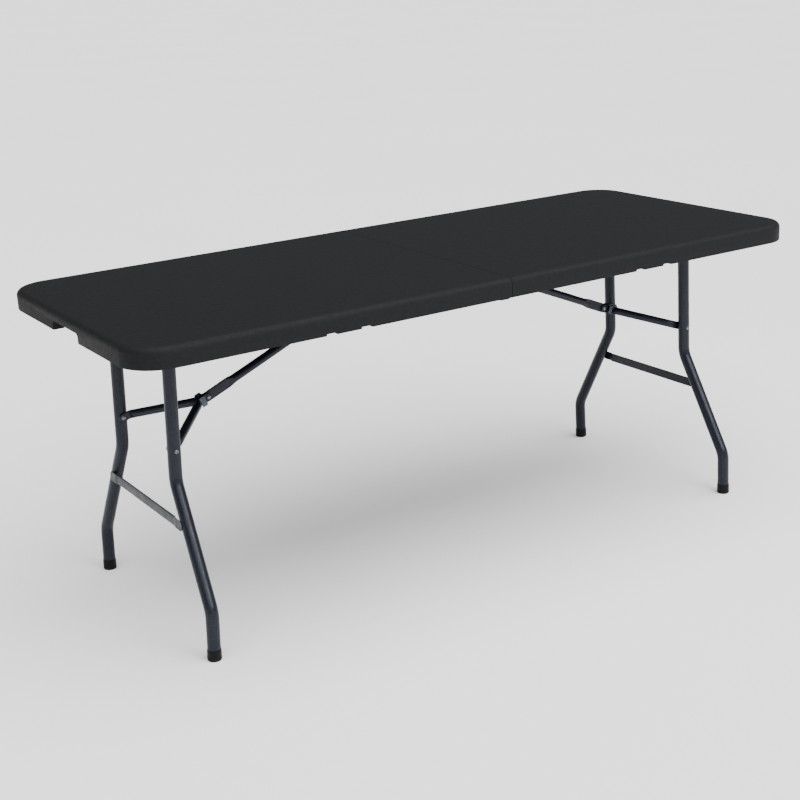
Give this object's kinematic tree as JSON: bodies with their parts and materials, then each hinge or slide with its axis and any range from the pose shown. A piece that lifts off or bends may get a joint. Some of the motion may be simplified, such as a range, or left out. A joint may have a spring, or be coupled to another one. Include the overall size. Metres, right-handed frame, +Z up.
{
  "type": "folding table",
  "caption": "Bi-fold moulded banquet table with tube legs that fold flat on locking V-braces and a top that folds at a centre seam.",
  "frame": {"origin": "on the floor under the centre of the open table", "axes": "+X along the length to the right half, +Y from the front to the rear, +Z up"},
  "size_m": [1.83, 0.76, 0.74],
  "materials": {
    "top_plastic": "fine moulded grain, dark charcoal",
    "black_plastic": "smooth black moulding",
    "slate_coat": "hammered slate powder coat",
    "bright_zinc": "dull zinc plate",
    "lock_zinc": "bluish zinc plate"
  },
  "bodies": {
    "left_half": {"left_panel": "top_plastic", "left_front_rail": "slate_coat", "left_rear_rail": "slate_coat", "left_hinge_plates": "bright_zinc", "left_rail_screws": "bright_zinc", "left_rod_clamps": "black_plastic", "left_clamp_screws": "bright_zinc", "left_brace_bracket": "slate_coat", "left_bracket_screws": "bright_zinc", "left_bracket_pin": "bright_zinc", "hinge_pins": "bright_zinc", "seam_catch": "black_plastic", "handle_lugs": "black_plastic", "handle_pins": "bright_zinc"},
    "left_leg_frame": {"left_pivot_rod": "slate_coat", "left_front_leg": "slate_coat", "left_rear_leg": "slate_coat", "left_crossbar": "slate_coat", "left_front_foot": "black_plastic", "left_rear_foot": "black_plastic", "left_leg_rivets": "bright_zinc"},
    "left_arm": {"left_brace_arm": "slate_coat", "left_elbow_rivet": "bright_zinc"},
    "left_v_brace": {"left_front_brace_tube": "slate_coat", "left_rear_brace_tube": "slate_coat", "left_brace_rivets": "bright_zinc"},
    "left_lock": {"left_lock_ring": "lock_zinc"},
    "right_half": {"right_panel": "top_plastic", "right_front_rail": "slate_coat", "right_rear_rail": "slate_coat", "right_hinge_plates": "bright_zinc", "right_rail_screws": "bright_zinc", "right_rod_clamps": "black_plastic", "right_clamp_screws": "bright_zinc", "right_brace_bracket": "slate_coat", "right_bracket_screws": "bright_zinc", "right_bracket_pin": "bright_zinc"},
    "right_leg_frame": {"right_pivot_rod": "slate_coat", "right_front_leg": "slate_coat", "right_rear_leg": "slate_coat", "right_crossbar": "slate_coat", "right_front_foot": "black_plastic", "right_rear_foot": "black_plastic", "right_leg_rivets": "bright_zinc"},
    "right_arm": {"right_brace_arm": "slate_coat", "right_elbow_rivet": "bright_zinc"},
    "right_v_brace": {"right_front_brace_tube": "slate_coat", "right_rear_brace_tube": "slate_coat", "right_brace_rivets": "bright_zinc"},
    "right_lock": {"right_lock_ring": "lock_zinc"},
    "handle": {"carry_handle": "black_plastic"}
  },
  "joints": [
    {"name": "table_fold", "type": "hinge", "parent": "left_half", "child": "right_half", "pos_m": [0, 0, 0.694], "axis": [0, 1, 0], "range_deg": [0, 90]},
    {"name": "left_leg_fold", "type": "hinge", "parent": "left_half", "child": "left_leg_frame", "pos_m": [-0.746, 0, 0.7105], "axis": [0, -1, 0], "range_deg": [0, 91.94]},
    {"name": "left_arm_swing", "type": "hinge", "parent": "left_half", "child": "left_arm", "pos_m": [-0.064, 0, 0.715], "axis": [0, 1, 0], "range_deg": [0, 22.09]},
    {"name": "left_elbow", "type": "hinge", "parent": "left_arm", "child": "left_v_brace", "pos_m": [-0.59705, 0, 0.49202], "axis": [0, -1, 0], "range_deg": [0, 184.5]},
    {"name": "left_lock_slide", "type": "slide", "parent": "left_arm", "child": "left_lock", "axis": [0.9225, 0, 0.3859], "range_m": [0, 0.036]},
    {"name": "right_leg_fold", "type": "hinge", "parent": "right_half", "child": "right_leg_frame", "pos_m": [0.746, 0, 0.7105], "axis": [0, 1, 0], "range_deg": [0, 91.94]},
    {"name": "right_arm_swing", "type": "hinge", "parent": "right_half", "child": "right_arm", "pos_m": [0.064, 0, 0.715], "axis": [0, -1, 0], "range_deg": [0, 22.09]},
    {"name": "right_elbow", "type": "hinge", "parent": "right_arm", "child": "right_v_brace", "pos_m": [0.59705, 0, 0.49202], "axis": [0, 1, 0], "range_deg": [0, 184.5]},
    {"name": "right_lock_slide", "type": "slide", "parent": "right_arm", "child": "right_lock", "axis": [-0.9225, 0, 0.3859], "range_m": [0, 0.036]},
    {"name": "handle_swing", "type": "hinge", "parent": "left_half", "child": "handle", "pos_m": [-0.43, -0.346, 0.69425], "axis": [-1, 0, 0], "range_deg": [0, 180]}
  ],
  "couplings": [
    {"joint": "left_arm_swing", "follows": "left_leg_fold", "ratio": 0.2401},
    {"joint": "left_elbow", "follows": "left_leg_fold", "ratio": 2.0067},
    {"joint": "right_arm_swing", "follows": "right_leg_fold", "ratio": 0.2401},
    {"joint": "right_elbow", "follows": "right_leg_fold", "ratio": 2.0067}
  ]
}
